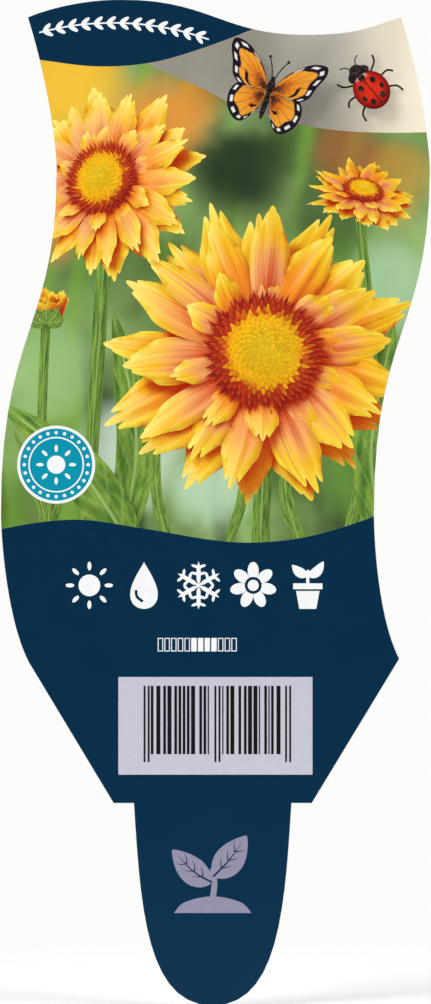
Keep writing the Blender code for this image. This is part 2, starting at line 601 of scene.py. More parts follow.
def bar_tree():
    """Upright bars of one to three units with gaps like them between, fitted to a width."""
    sizes = {"Count": 12, "Width": 10.0, "Height": 10.0, "Seed": 1}
    board, size = planned("bars", sizes)
    points = numbered(board, size["Count"])
    bar = drawn(board, size["Seed"], 0.6, 3.4).rounded()
    gap = drawn(board, size["Seed"] + 1, 0.6, 3.0).rounded()
    before = board.add("GeometryNodeAccumulateField", None, {"Value": bar + gap}, 1)
    total = before.beside(2)
    points = stored(board, points, "start", before / total)
    points = stored(board, points, "breadth", bar / total)
    bars = copied(board, points, unit_square(board))
    x, y, z = own_place(board)
    across = (read(board, "start") + (x + 0.5) * read(board, "breadth")) * size["Width"]
    finished(board, bars, across, 0.0, y * size["Height"], "bar_ink")
    return board


# Shapes drawn one by one


def swept(points, steps=10):
    """A smooth line through the points, as a list of pairs with this many steps from point to point."""
    given = np.array([points[0], *points, points[-1]], float)
    line = []
    for a, b, c, d in zip(given, given[1:], given[2:], given[3:]):
        bend, swing = 2 * a - 5 * b + 4 * c - d, 3 * b - a - 3 * c + d
        line += [0.5 * (2 * b + (c - a) * t + bend * t**2 + swing * t**3) for t in np.arange(steps) / steps]
    return [tuple(point) for point in line] + [tuple(points[-1])]


def flat_shape(outline, ink_name, depth):
    """A flat shape with this outline of x, z pairs."""
    mesh = bpy.data.meshes.new("flat_shape")
    mesh.from_pydata([(x, depth, z) for x, z in outline], [], [range(len(outline))])
    mesh.materials.append(INKS[ink_name])
    return mesh


def oval(centre, half_width, half_height, turn=0.0, points=28):
    """The outline of an ellipse, turned by an angle."""
    outline = []
    for step in range(points):
        angle = 2 * pi * step / points
        x, z = half_width * cos(angle), half_height * sin(angle)
        outline.append((centre[0] + x * cos(turn) - z * sin(turn), centre[1] + x * sin(turn) + z * cos(turn)))
    return outline


def box(left, right, low, high):
    return [(left, low), (right, low), (right, high), (left, high)]


def shaped_mesh(verts, faces, along, across, tone, ink_name):
    """A mesh that holds what its ink reads: places along and across it, and one tone."""
    mesh = bpy.data.meshes.new("shape")
    mesh.from_pydata(verts.tolist(), [], faces)
    for name, values in zip(HELD, (along, across, np.full(len(verts), tone))):
        mesh.attributes.new(name, "FLOAT", "POINT").data.foreach_set("value", values)
    mesh.materials.append(INKS[ink_name])
    return mesh


def blade(spine, half_width, profile, depths, ink_name, fold=0.0, tone=0.5, rows=26, columns=7):
    """A leaf or a stem along a line of x, z pairs. profile gives its width along it, as a share."""
    line = np.array(swept(spine, 12))
    walked = np.r_[0, np.cumsum(np.linalg.norm(np.diff(line, axis=0), axis=1))]
    along = np.linspace(0, 1, rows)
    middle = np.stack([np.interp(along * walked[-1], walked, line[:, k]) for k in (0, 1)], 1)
    heading = np.gradient(middle, axis=0)
    heading /= np.linalg.norm(heading, axis=1)[:, None]
    aside = np.stack([heading[:, 1], -heading[:, 0]], 1)
    across = np.linspace(-1, 1, columns)
    wide = half_width * np.array([profile(share) for share in along])
    spots = middle[:, None, :] + across[None, :, None] * wide[:, None, None] * aside[:, None, :]
    depth = np.interp(along, np.linspace(0, 1, len(depths)), depths)[:, None]
    depth = depth + fold * np.abs(across)[None, :] * wide[:, None]
    verts = np.stack([spots[..., 0], depth + 0 * spots[..., 0], spots[..., 1]], 2).reshape(-1, 3)
    faces = [
        (r * columns + c, r * columns + c + 1, (r + 1) * columns + c + 1, (r + 1) * columns + c)
        for r in range(rows - 1) for c in range(columns - 1)
    ]
    return shaped_mesh(verts, faces, np.repeat(along, columns), np.tile(across, rows), tone, ink_name)


def fan(root, rim, ink_name, depth, lift, tone=0.5, rings=9):
    """A wing or a shell: rings of points from its root out to its rim, raised between them by lift."""
    rim = np.array(rim)
    share = np.linspace(0, 1, rings + 1)[1:, None]
    x = root[0] + (rim[:, 0] - root[0]) * share
    z = root[1] + (rim[:, 1] - root[1]) * share
    raised = depth - lift * np.sqrt(np.clip(1 - share**2, 0, 1)) + 0 * x
    verts = np.vstack([(root[0], depth - lift, root[1]), np.stack([x, raised, z], 2).reshape(-1, 3)])
    count = len(rim)
    faces = [(0, 1 + c, 1 + (c + 1) % count) for c in range(count)]
    for ring in range(rings - 1):
        first = 1 + ring * count
        for c in range(count):
            after = (c + 1) % count
            faces.append((first + c, first + count + c, first + count + after, first + after))
    along = np.r_[0, np.repeat(share[:, 0], count)]
    across = np.r_[0, np.tile(np.linspace(-1, 1, count), rings)]
    return shaped_mesh(verts, faces, along, across, tone, ink_name)


# The collage


def values_of(items, name, width=1, kind=np.float32):
    """One value, or a row of them, from each item of a mesh."""
    values = np.empty(len(items) * width, kind)
    items.foreach_get(name, values)
    return values.reshape(-1, width) if width > 1 else values


def sides_of(triangles):
    """The pairs of corners at the sides of the triangles."""
    return np.vstack([triangles[:, [0, 1]], triangles[:, [1, 2]], triangles[:, [2, 0]]])


# What each point carries: all but the light, which comes later, and the number of the copy it is part
# of. A mesh has fewer copies than COPIES.
CARRIED = (*HELD[:LIGHT], "number")
COPIES = 1000


class Collage:
    """The shapes of the picture and what each of their points carries."""

    def __init__(self):
        self.points = np.empty((0, 3))
        self.normals = np.empty((0, 3))
        self.carried = np.empty((0, len(CARRIED)))
        self.triangles = np.empty((0, 3), int)
        self.ink_of = np.empty(0, int)
        self.part_of = np.empty(0, int)
        self.lit_edges = []
        self.flat_edges = []
        self.meshes = 0

    def lay(self, mesh, place=None):
        """Adds a mesh, moved by a matrix, and drops it."""
        if place is not None:
            mesh.transform(place)
        mesh.update()
        mesh.calc_loop_triangles()
        triangles = values_of(mesh.loop_triangles, "vertices", 3, np.int32) + len(self.points)
        carried = np.zeros((len(mesh.vertices), len(CARRIED)), np.float32)
        for column, name in enumerate(CARRIED):
            if name in mesh.attributes:
                carried[:, column] = values_of(mesh.attributes[name].data, "value")
        self.points = np.vstack([self.points, values_of(mesh.vertices, "co", 3)])
        self.normals = np.vstack([self.normals, values_of(mesh.vertex_normals, "vector", 3)])
        self.carried = np.vstack([self.carried, carried])
        self.triangles = np.vstack([self.triangles, triangles])
        ink_name = mesh.materials[-1].name
        self.ink_of = np.r_[self.ink_of, np.full(len(triangles), list(INKS).index(ink_name))]
        copies = self.carried[triangles[:, 0], CARRIED.index("number")].astype(int)
        self.part_of = np.r_[self.part_of, self.meshes * COPIES + copies]
        self.meshes += 1
        shown = self.outline_edges(triangles)
        (self.lit_edges if ink_name in SHAPED_INKS else self.flat_edges).append(shown)
        bpy.data.meshes.remove(mesh)

    def outline_edges(self, triangles):
        """The edges where a shape ends as the reader sees it: its rims, and where it turns away."""
        corners = self.points[triangles]
        facing = np.sign(np.cross(corners[:, 1] - corners[:, 0], corners[:, 2] - corners[:, 0])[:, 1])
        pairs = np.sort(sides_of(triangles), 1)
        pairs, which, uses = np.unique(pairs, axis=0, return_inverse=True, return_counts=True)
        facings = np.zeros(len(pairs))
        np.add.at(facings, which.ravel(), np.tile(facing, 3))
        return pairs[(uses == 1) | ((uses == 2) & (facings == 0))]

    def inked(self, names):
        """Whether each triangle has one of the inks of these names."""
        return np.isin(self.ink_of, [list(INKS).index(name) for name in names])

    def tree_of(self, names):
        """A search tree over the triangles with inks of these names, and the triangles' numbers."""
        numbers = np.flatnonzero(self.inked(names))
        chosen = self.triangles[numbers].tolist()
        return BVHTree.FromPolygons(self.points.tolist(), chosen, all_triangles=True), numbers


def looked_at(tree, numbers, places):
    """For each x, z pair: the triangle that the reader sees there, or -1, and how deep it lies."""
    seen = np.full(len(places), -1)
    depth = np.zeros(len(places))
    away = Vector((0, 1, 0))
    for row, (x, z) in enumerate(places.tolist()):
        spot, normal, face, distance = tree.ray_cast((x, READER, z), away)
        if face is not None:
            seen[row] = face
            depth[row] = spot.y
    found = seen >= 0
    seen[found] = numbers[seen[found]]
    return seen, depth


# A ray starts this far off the surface that it leaves, and an edge may lie this far behind what is seen
CLEARANCE = 0.06


def shown_edges(collage, tree, numbers):
    """The outline edges of shaped things, without those that lie behind something else."""
    edges = np.vstack(collage.lit_edges)
    kept = np.zeros(len(edges), bool)
    first, last = collage.points[edges[:, 0]], collage.points[edges[:, 1]]
    for share in (0.05, 0.5, 0.95):
        spots = first * (1 - share) + last * share
        seen, depth = looked_at(tree, numbers, spots[:, [0, 2]])
        kept |= depth > spots[:, 1] - CLEARANCE
    return edges[kept]


def inside(outline, places):
    """Whether each x, z pair lies inside the closed outline."""
    odd = np.zeros(len(places), bool)
    for (ax, az), (bx, bz) in zip(outline, np.roll(outline, -1, axis=0)):
        if az != bz:
            crosses = (az > places[:, 1]) != (bz > places[:, 1])
            odd ^= crosses & (places[:, 0] < (bx - ax) * (places[:, 1] - az) / (bz - az) + ax)
    return odd


ROW_STEP = 0.866


def spread(outline, pitch):
    """Points in staggered rows inside an outline's box, this far apart."""
    low, high = outline.min(0), outline.max(0)
    places = []
    for row, z in enumerate(np.arange(low[1], high[1], pitch * ROW_STEP)):
        across = np.arange(low[0] + pitch / 2 * (row % 2), high[0], pitch)
        places.append(np.stack([across, np.full(len(across), z)], 1))
    return np.vstack(places)


# Light on the collage: a soft sun from the upper left, and the open sky in front

SUN = Vector((-0.46, -0.66, 0.60)).normalized()
SUN_SPREAD = 0.16
SUN_RAYS = 6
SUN_SHARE = 0.58
SKY_RAYS = 8
SKY_SHARE = 0.42
SHADOW_REACH = 9.0
SKY_REACH = 5.0


def sun_rays():
    """Directions to the sun's middle and rim, which make the edges of shadows soft."""
    aside = SUN.orthogonal().normalized()
    above = SUN.cross(aside)
    rays = []
    for ray in range(SUN_RAYS):
        turn = 2 * pi * ray / SUN_RAYS
        out = SUN_SPREAD * (0.4 + 0.6 * (ray % 2))
        rays.append((SUN + aside * cos(turn) * out + above * sin(turn) * out).normalized())
    return rays


def sky_rays():
    """Directions to the open sky, by turns nearer to the reader and farther to the side."""
    rays = []
    for ray in range(SKY_RAYS):
        turn = 2 * pi * ray / SKY_RAYS
        out = 0.55 + 0.9 * (ray % 2)
        rays.append(Vector((cos(turn) * out, -1.0, sin(turn) * out)).normalized())
    return rays


def openness(tree, starts, rays, reach):
    """The share of the rays that meet nothing within reach of each start."""
    free = [[tree.ray_cast(start, ray, reach)[2] is None for start in starts] for ray in rays]
    return np.sum(free, 0) / len(rays)


def light_on(collage, spots, normals):
    """The light on each spot, about 1 in the open and facing the sun, and 0 in deep shade."""
    tree, numbers = collage.tree_of(SHAPED_INKS)
    starts = [Vector(spot) for spot in (spots + normals * CLEARANCE)]
    sun = openness(tree, starts, sun_rays(), SHADOW_REACH)
    sky = openness(tree, starts, sky_rays(), SKY_REACH)
    facing = np.clip(normals @ np.array(SUN), 0, 1)
    through = 0.30 + 0.70 * facing / -SUN.y
    return SKY_SHARE * sky + SUN_SHARE * sun * through


# Pressing the collage flat


def ring_of(count):
    """The pairs of a closed ring of points, each from one point to the next."""
    order = np.arange(count)
    return np.stack([order, np.roll(order, -1)], 1)


def triangulated(outline, places, lines):
    """Triangles between the places, inside the outline and facing the reader, with the lines as edges."""
    cut = delaunay_2d_cdt([Vector(place) for place in places.tolist()], lines.tolist(), [], 0, 1e-4, False)
    points = np.array([tuple(point) for point in cut[0]])
    triangles = np.array(cut[2])
    triangles = triangles[inside(outline, points[triangles].mean(1))]
    used, triangles = np.unique(triangles, return_inverse=True)
    points, triangles = points[used], triangles.reshape(-1, 3)
    corners = points[triangles]
    backwards = np.cross(corners[:, 1] - corners[:, 0], corners[:, 2] - corners[:, 0]) < 0
    triangles[backwards] = triangles[backwards][:, ::-1]
    return points, triangles


def crossings(collage, tree, numbers, points, triangles, seen):
    """Places where one part gives way to another, but not along the edge between two triangles."""
    pairs = np.sort(sides_of(triangles), 1)
    order = np.lexsort(pairs.T)
    pairs, owners = pairs[order], np.tile(np.arange(len(triangles)), 3)[order]
    parts = collage.part_of[seen]
    twice = (pairs[1:] == pairs[:-1]).all(1) & (parts[owners[1:]] != parts[owners[:-1]])
    one, other, edges = owners[:-1][twice], owners[1:][twice], pairs[1:][twice]
    middles = points[triangles].mean(1)
    near, far = middles[one], middles[other]
    for halving in range(8):
        between = (near + far) / 2
        hit, depth = looked_at(tree, numbers, between)
        still = (collage.part_of[hit] == parts[one])[:, None]
        near, far = np.where(still, between, near), np.where(still, far, between)
    start, along = points[edges[:, 0]], points[edges[:, 1]] - points[edges[:, 0]]
    gap = np.abs(np.cross(along, near - start)) / np.linalg.norm(along, axis=1)
    return near[gap > 0.03]


def cut_up(collage, tree, numbers, outline):
    """Triangles that end where the shapes of the collage do, and what the reader sees in each."""
    edges = np.vstack([shown_edges(collage, tree, numbers), *collage.flat_edges])
    used, ends = np.unique(edges, return_inverse=True)
    fine_places = spread(outline, FINE_PITCH)
    seen, depth = looked_at(tree, numbers, fine_places)
    fine_places = fine_places[(seen >= 0) & collage.inked(LIT_INKS)[seen]]
    places = [outline, collage.points[used][:, [0, 2]], fine_places, spread(outline, COARSE_PITCH)]
    lines = np.vstack([ring_of(len(outline)), ends.reshape(-1, 2) + len(outline)])
    for cutting in range(3):
        points, triangles = triangulated(outline, np.vstack(places), lines)
        seen, depth = looked_at(tree, numbers, points[triangles].mean(1))
        if cutting < 2:
            places.append(crossings(collage, tree, numbers, points, triangles, seen))
    return points, triangles, seen


# A corner of a triangle is read this share of the way in to its middle
INSET = 0.06


def read_off(collage, tree, numbers, places, seen, middles):
    """Where on the collage each place lies, which way it faces there, and what it carries.

    A place that looks past the part its triangle shows is read at the triangle's middle instead.
    """
    hit, depth = looked_at(tree, numbers, places)
    strayed = (hit < 0) | (collage.part_of[hit] != collage.part_of[seen])
    corners = collage.triangles[np.where(strayed, seen, hit)]
    places = np.where(strayed[:, None], middles, places)
    shares = shares_of(collage.points[corners][..., [0, 2]], places)[..., None]
    sources = (collage.points, collage.normals, collage.carried)
    spots, normals, carried = ((source[corners] * shares).sum(1) for source in sources)
    normals *= np.where(normals[:, 1] > 0, -1, 1)[:, None]
    normals /= np.maximum(np.linalg.norm(normals, axis=1), 1e-6)[:, None]
    return spots, normals, carried


def smoothed(light, corners):
    """The light on points, evened out with that on their neighbours in the triangles of these corners."""
    for passing in range(2):
        total, count = np.zeros(len(light)), np.zeros(len(light))
        for near, far in ((0, 1), (1, 0), (1, 2), (2, 1), (2, 0), (0, 2)):
            np.add.at(total, corners[:, near], light[corners[:, far]])
            np.add.at(count, corners[:, near], 1)
        light = light * 0.45 + total / count * 0.55
    return light


def pressed(collage, outline):
    """The flat print: points, triangles, the ink of each triangle, and what its corners carry."""
    tree, numbers = collage.tree_of(INKS)
    points, triangles, seen = cut_up(collage, tree, numbers, outline)
    lit = np.flatnonzero(collage.inked(LIT_INKS)[seen])
    middles = points[triangles[lit]].mean(1)
    corners = []
    for corner in range(3):
        near = points[triangles[lit, corner]] * (1 - INSET) + middles * INSET
        corners.append(read_off(collage, tree, numbers, near, seen[lit], middles))
    spots, normals, values = (np.stack(each, 1) for each in zip(*corners))
    # Triangles of one part share the light at the points where they meet
    keys = triangles[lit] * collage.meshes * COPIES + collage.part_of[seen[lit]][:, None]
    unique, first, which = np.unique(keys, return_index=True, return_inverse=True)
    which = which.reshape(-1, 3)
    light = light_on(collage, spots.reshape(-1, 3)[first], normals.reshape(-1, 3)[first])
    carried = np.zeros((len(triangles), 3, len(HELD)))
    carried[..., LIGHT] = 1.0
    carried[lit, :, :LIGHT] = values[..., :LIGHT]
    carried[lit, :, LIGHT] = smoothed(light, which)[which]
    return points, triangles, collage.ink_of[seen], carried


def shares_of(corners, places):
    """How much of each triangle's three corners goes into a place, for triangles and places in x and z."""
    a, b, c = corners[:, 0], corners[:, 1], corners[:, 2]
    whole = np.cross(b - a, c - a)
    whole = np.where(np.abs(whole) < 1e-12, 1e-12, whole)
    at_b = np.cross(places - a, c - a) / whole
    at_c = np.cross(b - a, places - a) / whole
    shares = np.clip(np.stack([1 - at_b - at_c, at_b, at_c], 1), 0, 1)
    return shares / shares.sum(1)[:, None]


# The label


def loop_of(pairs):
    """The pairs of a closed line, each from one point to the next, as one list in order."""
    following = dict(pairs.tolist())
    loop = [next(iter(following))]
    while following[loop[-1]] != loop[0]:
        loop.append(following[loop[-1]])
    return loop


def rim_pairs(triangles):
    """The directed edges that only one triangle has."""
    pairs = sides_of(triangles)
    size = pairs.max() + 1
    there, back = pairs[:, 0] * size + pairs[:, 1], pairs[:, 1] * size + pairs[:, 0]
    return pairs[~np.isin(there, back)]


def cut_outline(node):
    """The outline that the label's front face is cut to, in millimetres, anticlockwise to the reader."""
    sheet = bmesh.new()
    sheet.from_mesh(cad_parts[node].data)
    bmesh.ops.remove_doubles(sheet, verts=sheet.verts, dist=1e-6)
    sheet.verts.index_update()
    triangles = np.array([[v.index for v in f.verts] for f in sheet.faces if f.normal.y < -0.9])
    points = np.array([(v.co.x / MM, v.co.z / MM) for v in sheet.verts])
    sheet.free()
    return points[loop_of(rim_pairs(triangles))]


def outward(loop):
    """The step out from each point of an anticlockwise loop that moves its edges out by 1."""
    along = np.roll(loop, -1, axis=0) - loop
    along /= np.maximum(np.linalg.norm(along, axis=1), 1e-9)[:, None]
    sides = np.stack([along[:, 1], -along[:, 0]], 1)
    step = sides + np.roll(sides, 1, axis=0)
    step /= np.linalg.norm(step, axis=1)[:, None]
    reach = np.clip((step * sides).sum(1), 0.5, 1)
    return step / reach[:, None]


# How dark each ink looks through the sheet, which blurs it by this much
BLUR = 0.9
DENSITY = {
    "navy_ink": 1.0, "bar_ink": 1.0, "leaf_ink": 0.55, "garden_ink": 0.45, "teal_ink": 0.5,
    "lilac_grey_ink": 0.35, "petal_ink": 0.22, "floret_ink": 0.4, "strip_ink": 0.2, "lilac_ink": 0.12,
}


def show_through(collage, places):
    """How dark the print on the front lies behind each place of the back, blurred by the sheet."""
    tree, numbers = collage.tree_of(INKS)
    darkness = np.array([DENSITY.get(name, 0.0) for name in INKS])
    total = np.zeros(len(places))
    offsets = [(0, 0)] + [(BLUR * cos(turn), BLUR * sin(turn)) for turn in np.arange(6) * pi / 3]
    for offset in offsets:
        seen, depth = looked_at(tree, numbers, places + np.array(offset))
        total += darkness[collage.ink_of[seen]]
    return total / len(offsets)


def walls_between(rings):
    """Triangles that join each ring of points to the next one back."""
    walls = []
    for near, far in zip(rings, rings[1:]):
        next_near, next_far = np.roll(near, -1), np.roll(far, -1)
        walls += [np.stack([near, far, next_near], 1), np.stack([next_near, far, next_far], 1)]
    return np.vstack(walls)


def plain_back(rim):
    """Points and triangles of the back, which faces away from the reader."""
    places = spread(rim, BACK_PITCH)
    places = places[inside(rim - outward(rim) * BACK_MARGIN, places)]
    points, triangles = triangulated(rim, np.vstack([rim, places]), ring_of(len(rim)))
    return points, triangles[:, ::-1]


def welded(mesh):
    """Joins the points of a mesh that lie in one place."""
    sheet = bmesh.new()
    sheet.from_mesh(mesh)
    bmesh.ops.remove_doubles(sheet, verts=sheet.verts, dist=2e-7)
    sheet.to_mesh(mesh)
    sheet.free()
    return mesh


def label_piece(collage, outline):
    """The closed sheet: the pressed print, the broken edges, the cut wall and the plain back."""
    thickness = -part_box("label")[0].y / MM
    inner = outline - outward(outline) * EDGE_BREAK
    front_points, front_triangles, front_inks, front_carried = pressed(collage, inner)
    loop = np.array(loop_of(rim_pairs(front_triangles)))
    rim = front_points[loop]
    wide = rim + outward(rim) * EDGE_BREAK
    rings = [(wide, EDGE_BREAK - thickness), (wide, -EDGE_BREAK), (rim, 0.0)]
    count, size = len(front_points), len(loop)
    walls = walls_between([loop] + [count + size * step + np.arange(size) for step in range(len(rings))])
    back_points, back_triangles = plain_back(rim)
    back_start = count + size * len(rings)
    layers = [(front_points, -thickness), *rings, (back_points, 0.0)]
    points = np.vstack([np.insert(places, 1, depth, axis=1) for places, depth in layers])
    triangles = np.vstack([front_triangles, walls, back_triangles + back_start])
    mesh = bpy.data.meshes.new("plant_label")
    mesh.from_pydata((points * MM).tolist(), [], triangles.tolist())
    bare = np.full(len(triangles) - len(front_triangles), list(INKS).index("bare_plastic"))
    mesh.polygons.foreach_set("material_index", np.r_[front_inks, bare].astype(np.int32))
    carried = np.zeros((len(triangles), 3, len(HELD)))
    carried[: len(front_triangles)] = front_carried
    carried[-len(back_triangles):, :, TONE] = show_through(collage, back_points)[back_triangles]
    for column, name in enumerate(HELD):
        attribute = mesh.attributes.new(name, "FLOAT", "CORNER")
        attribute.data.foreach_set("value", carried[..., column].ravel())
    for material in INKS.values():
        mesh.materials.append(material)
    label = bpy.data.objects.new("printed_label", welded(mesh))
    bpy.context.scene.collection.objects.link(label)
    return label


# What is printed

collage = Collage()

PETAL_RING = petal_ring_tree()
FLORET_DOME = floret_dome_tree()
WHITE_MARKS = round_marks_tree("white_ink")
WHITE_BOXES = box_row_tree("white_ink")
NAVY_BOXES = box_row_tree("navy_ink")
DARK_BOXES = box_row_tree("bar_ink")
BARS = bar_tree()


def even(share):
    return 1.0


def leafy(share):
    return max(0.0, sin(pi * share**0.8)) ** 0.8


def pointed(share):
    return max(0.0, 1.0 - share) ** 0.6


def placed(points, centre, turn=0.0, size=1.0, side=1):
    """Points of a drawing moved to a centre, turned and scaled. A side of -1 mirrors them."""
    return [
        (
            centre[0] + size * (side * x * cos(turn) - z * sin(turn)),
            centre[1] + size * (side * x * sin(turn) + z * cos(turn)),
        )
        for x, z in points
    ]


def posed(centre, lean, size):
    """The matrix that scales a thing, leans it and moves it to a centre."""
    return Matrix.Translation(centre) @ Euler(lean, "XYZ").to_matrix().to_4x4() @ Matrix.Scale(size, 4)


def lay_flat(outline, ink_name, depth):
    collage.lay(flat_shape(outline, ink_name, depth))


def lay_disc(centre, radius, ink_name, depth, points=28):
    lay_flat(oval(centre, radius, radius, 0.0, points), ink_name, depth)


def lay_line(points, half_width, ink_name, depth, profile=even, rows=24):
    collage.lay(blade(points, half_width, profile, [depth, depth], ink_name, 0.0, 0.5, rows, 2))


def lay_marks(tree, centre, depth, **sizes):
    """Lays the flat marks that a tree makes, with their centre or the first of them here."""
    collage.lay(grown(tree, sizes), Matrix.Translation((centre[0], depth, centre[1])))


def lay_bloom(centre, size, lean, turn, seed):
    """A daisy-like bloom with three rings of toothed petals round a domed disc. Its centre has a depth."""
    place = posed(centre, lean, size)
    names = ("Count", "Hub", "Length", "Half width", "Rise", "Droop", "Lift")
    rings = [
        (16, 5.0, 19.0, 3.7, 0.02, 0.10, -1.2),
        (14, 5.0, 17.0, 3.3, 0.24, 0.22, -0.4),
        (10, 5.8, 9.5, 2.4, 0.50, 0.45, 0.0),
    ]
    for number, ring in enumerate(rings):
        sizes = {**dict(zip(names, ring)), "Turn": turn + number * 0.23, "Seed": seed + number * 20}
        collage.lay(grown(PETAL_RING, sizes), place)
    dome = {"Count": 380, "Radius": 7.7, "Height": 3.2, "Floret": 0.50, "Lift": 0.4, "Seed": seed}
    collage.lay(grown(FLORET_DOME, dome), place)
    collage.lay(fan((0, 0), oval((0, 0), 7.7, 7.7, 0.0, 40), "floret_ink", -0.2, 3.2), place)


def lay_bud(centre, size, lean, seed):
    """A bud that has begun to open, seen from the side, in its cup of green leaves."""
    x, depth, z = centre
    for count, hub, length, rise in ((9, 3.6, 8.6, 1.22), (7, 2.2, 9.4, 1.42)):
        sizes = {
            "Count": count, "Hub": hub, "Length": length, "Half width": 2.3, "Rise": rise, "Droop": 0.05,
            "Cup": -0.4, "Seed": seed + count,
        }
        collage.lay(grown(PETAL_RING, sizes), posed(centre, lean, size))
    foot = np.array((x, z)) + np.array((-sin(lean[1]), -0.4)) * size
    depths = [depth - 6 * size, depth - 7 * size]
    for turn, length in ((-1.15, 5.2), (-0.6, 6.0), (0.0, 6.4), (0.6, 6.0), (1.15, 5.2)):
        tip = foot + np.array((sin(turn), cos(turn) * 0.9)) * length * size
        middle = (foot + tip) / 2 + np.array((sin(turn) * 0.9, -0.6)) * size
        collage.lay(blade([foot, middle, tip], 1.7 * size, leafy, depths, "leaf_ink", 0.3, 0.6, 14, 5))


def lay_butterfly(centre, turn, size):
    """A generic butterfly with its wings open."""
    fore = [
        (0.5, 1.6), (2.6, 5.2), (6.4, 8.6), (9.8, 9.4), (10.4, 7.6), (9.2, 4.6), (8.2, 1.8), (6.0, 0.4),
        (3.0, 0.5), (0.6, 0.6),
    ]
    hind = [
        (0.6, 0.9), (3.6, 1.3), (6.6, 0.8), (7.9, -1.6), (7.4, -4.6), (5.6, -6.6), (3.9, -6.9),
        (2.5, -5.6), (1.2, -3.2), (0.5, -0.6),
    ]
    for side in (1, -1):
        for rim, root, depth, band in ((hind, (0.6, 0.0), -36.6, 0.45), (fore, (0.5, 1.2), -37.3, 0.60)):
            rim = placed(swept(rim, 6), centre, turn, size, side)
            [root] = placed([root], centre, turn, size, side)
            collage.lay(fan(root, rim, "wing_ink", depth, 0.35, band))
        feeler = placed([(0.3, 3.6), (0.9, 5.6), (2.0, 7.8)], centre, turn, size, side)
        lay_line(feeler, 0.10, "insect_dark_ink", -37.8)
        lay_disc(feeler[-1], 0.26, "insect_dark_ink", -37.8)
    for height, width, length in ((-2.0, 0.62, 3.3), (1.9, 0.85, 1.6), (3.5, 0.5, 0.55)):
        [middle] = placed([(0, height)], centre, turn, size)
        body = oval(middle, width * size, length * size, turn)
        collage.lay(fan(middle, body, "insect_dark_ink", -37.6, 0.7, 0.5, 5))


def lay_ladybird(centre, turn, size):
    """A generic ladybird from above."""
    legs = [
        [(1.6, 2.0), (3.4, 3.0), (4.0, 4.2)],
        [(2.4, 0.4), (4.2, 0.5), (5.0, -0.3)],
        [(2.2, -1.6), (3.8, -2.6), (4.2, -4.0)],
    ]
    for side in (1, -1):
        for leg in legs:
            lay_line(placed(leg, centre, turn, size, side), 0.17, "insect_dark_ink", -35.0)
        feeler = placed([(0.6, 4.6), (1.2, 5.5), (2.0, 5.8)], centre, turn, size, side)
        lay_line(feeler, 0.10, "insect_dark_ink", -35.4)
    bodies = [
        (4.0, 1.15, 0.95, "insect_dark_ink", 0.5),
        (3.1, 2.1, 1.25, "insect_dark_ink", 0.8),
        (-0.4, 3.1, 3.5, "shell_ink", 2.0),
    ]
    for height, width, length, ink_name, lift in bodies:
        [middle] = placed([(0, height)], centre, turn, size)
        rim = oval(middle, width * size, length * size, turn, 40)
        collage.lay(fan(middle, rim, ink_name, -35.6, lift * size, 0.5, 10))
    lay_line(placed([(0, 2.9), (0, -3.8)], centre, turn, size), 0.09, "insect_dark_ink", -37.9)
    for x, z, radius in ((0, 2.3, 0.62), (1.3, 0.9, 0.58), (1.9, -0.9, 0.5), (1.0, -2.2, 0.55)):
        for side in (1, -1) if x else (1,):
            [middle] = placed([(x, z)], centre, turn, size, side)
            spot = oval(middle, radius * size * (1 - x * 0.12), radius * size, turn)
            lay_flat(spot, "insect_dark_ink", -38.0)


def lay_sun(centre, depth, size=1.0):
    lay_disc(centre, 1.85 * size, "white_ink", depth)
    rays = {"Radius": 3.3 * size, "Step": pi / 4, "Length": 1.5 * size, "Width": 0.7 * size}
    lay_marks(WHITE_MARKS, centre, depth, Count=8, Corners=12, **rays)


def lay_drop(centre, depth):
    turns = [2 * pi * step / 56 for step in range(56)]
    drop = [(-3.23 * sin(turn) * sin(turn / 2) ** 1.3, 4.0 * cos(turn)) for turn in turns]
    lay_flat(placed(drop, centre), "white_ink", depth)
    shine = placed([(-1.35, -0.8), (-1.2, -1.9), (-0.2, -2.75)], centre)
    lay_line(shine, 0.24, "navy_ink", depth - 0.3)


def lay_snowflake(centre, depth):
    six = {"Count": 6, "Step": pi / 3, "Corners": 6}
    lay_marks(WHITE_MARKS, centre, depth, Radius=2.0, First=pi / 6, Length=4.2, Width=0.8, **six)
    for radius, length in ((2.1, 1.7), (3.3, 1.5)):
        for turn in (pi / 3, -pi / 3):
            twig = {"Radius": radius, "First": pi / 6 + 0.55 * turn / radius, "Length": length, "Turn": turn}
            lay_marks(WHITE_MARKS, centre, depth, Width=0.55, **twig, **six)


def lay_flower(centre, depth):
    petals = {"Radius": 2.5, "First": pi / 2, "Step": 2 * pi / 7, "Length": 3.0, "Width": 1.9}
    lay_marks(WHITE_MARKS, centre, depth, Count=7, Corners=24, **petals)
    lay_disc(centre, 1.45, "navy_ink", depth - 0.3)
    lay_disc(centre, 0.95, "white_ink", depth - 0.6)


def lay_pot(centre, depth):
    x, z = centre
    pot = [(-2.0, -0.95), (2.0, -0.95), (1.45, -4.0), (-1.45, -4.0)]
    lay_flat(placed(pot, centre), "white_ink", depth)
    lay_flat(box(x - 2.5, x + 2.5, z - 0.65, z + 0.35), "white_ink", depth)
    lay_line(placed([(0, 0.2), (0, 2.0), (0.15, 2.6)], centre), 0.27, "white_ink", depth)
    for side, reach in ((1, 4.1), (-1, 3.5)):
        leaf = placed([(0, 1.6), (1.5, 2.3), (2.7, reach)], centre, 0.0, 1.0, side)
        lay_line(leaf, 0.85, "white_ink", depth, leafy)


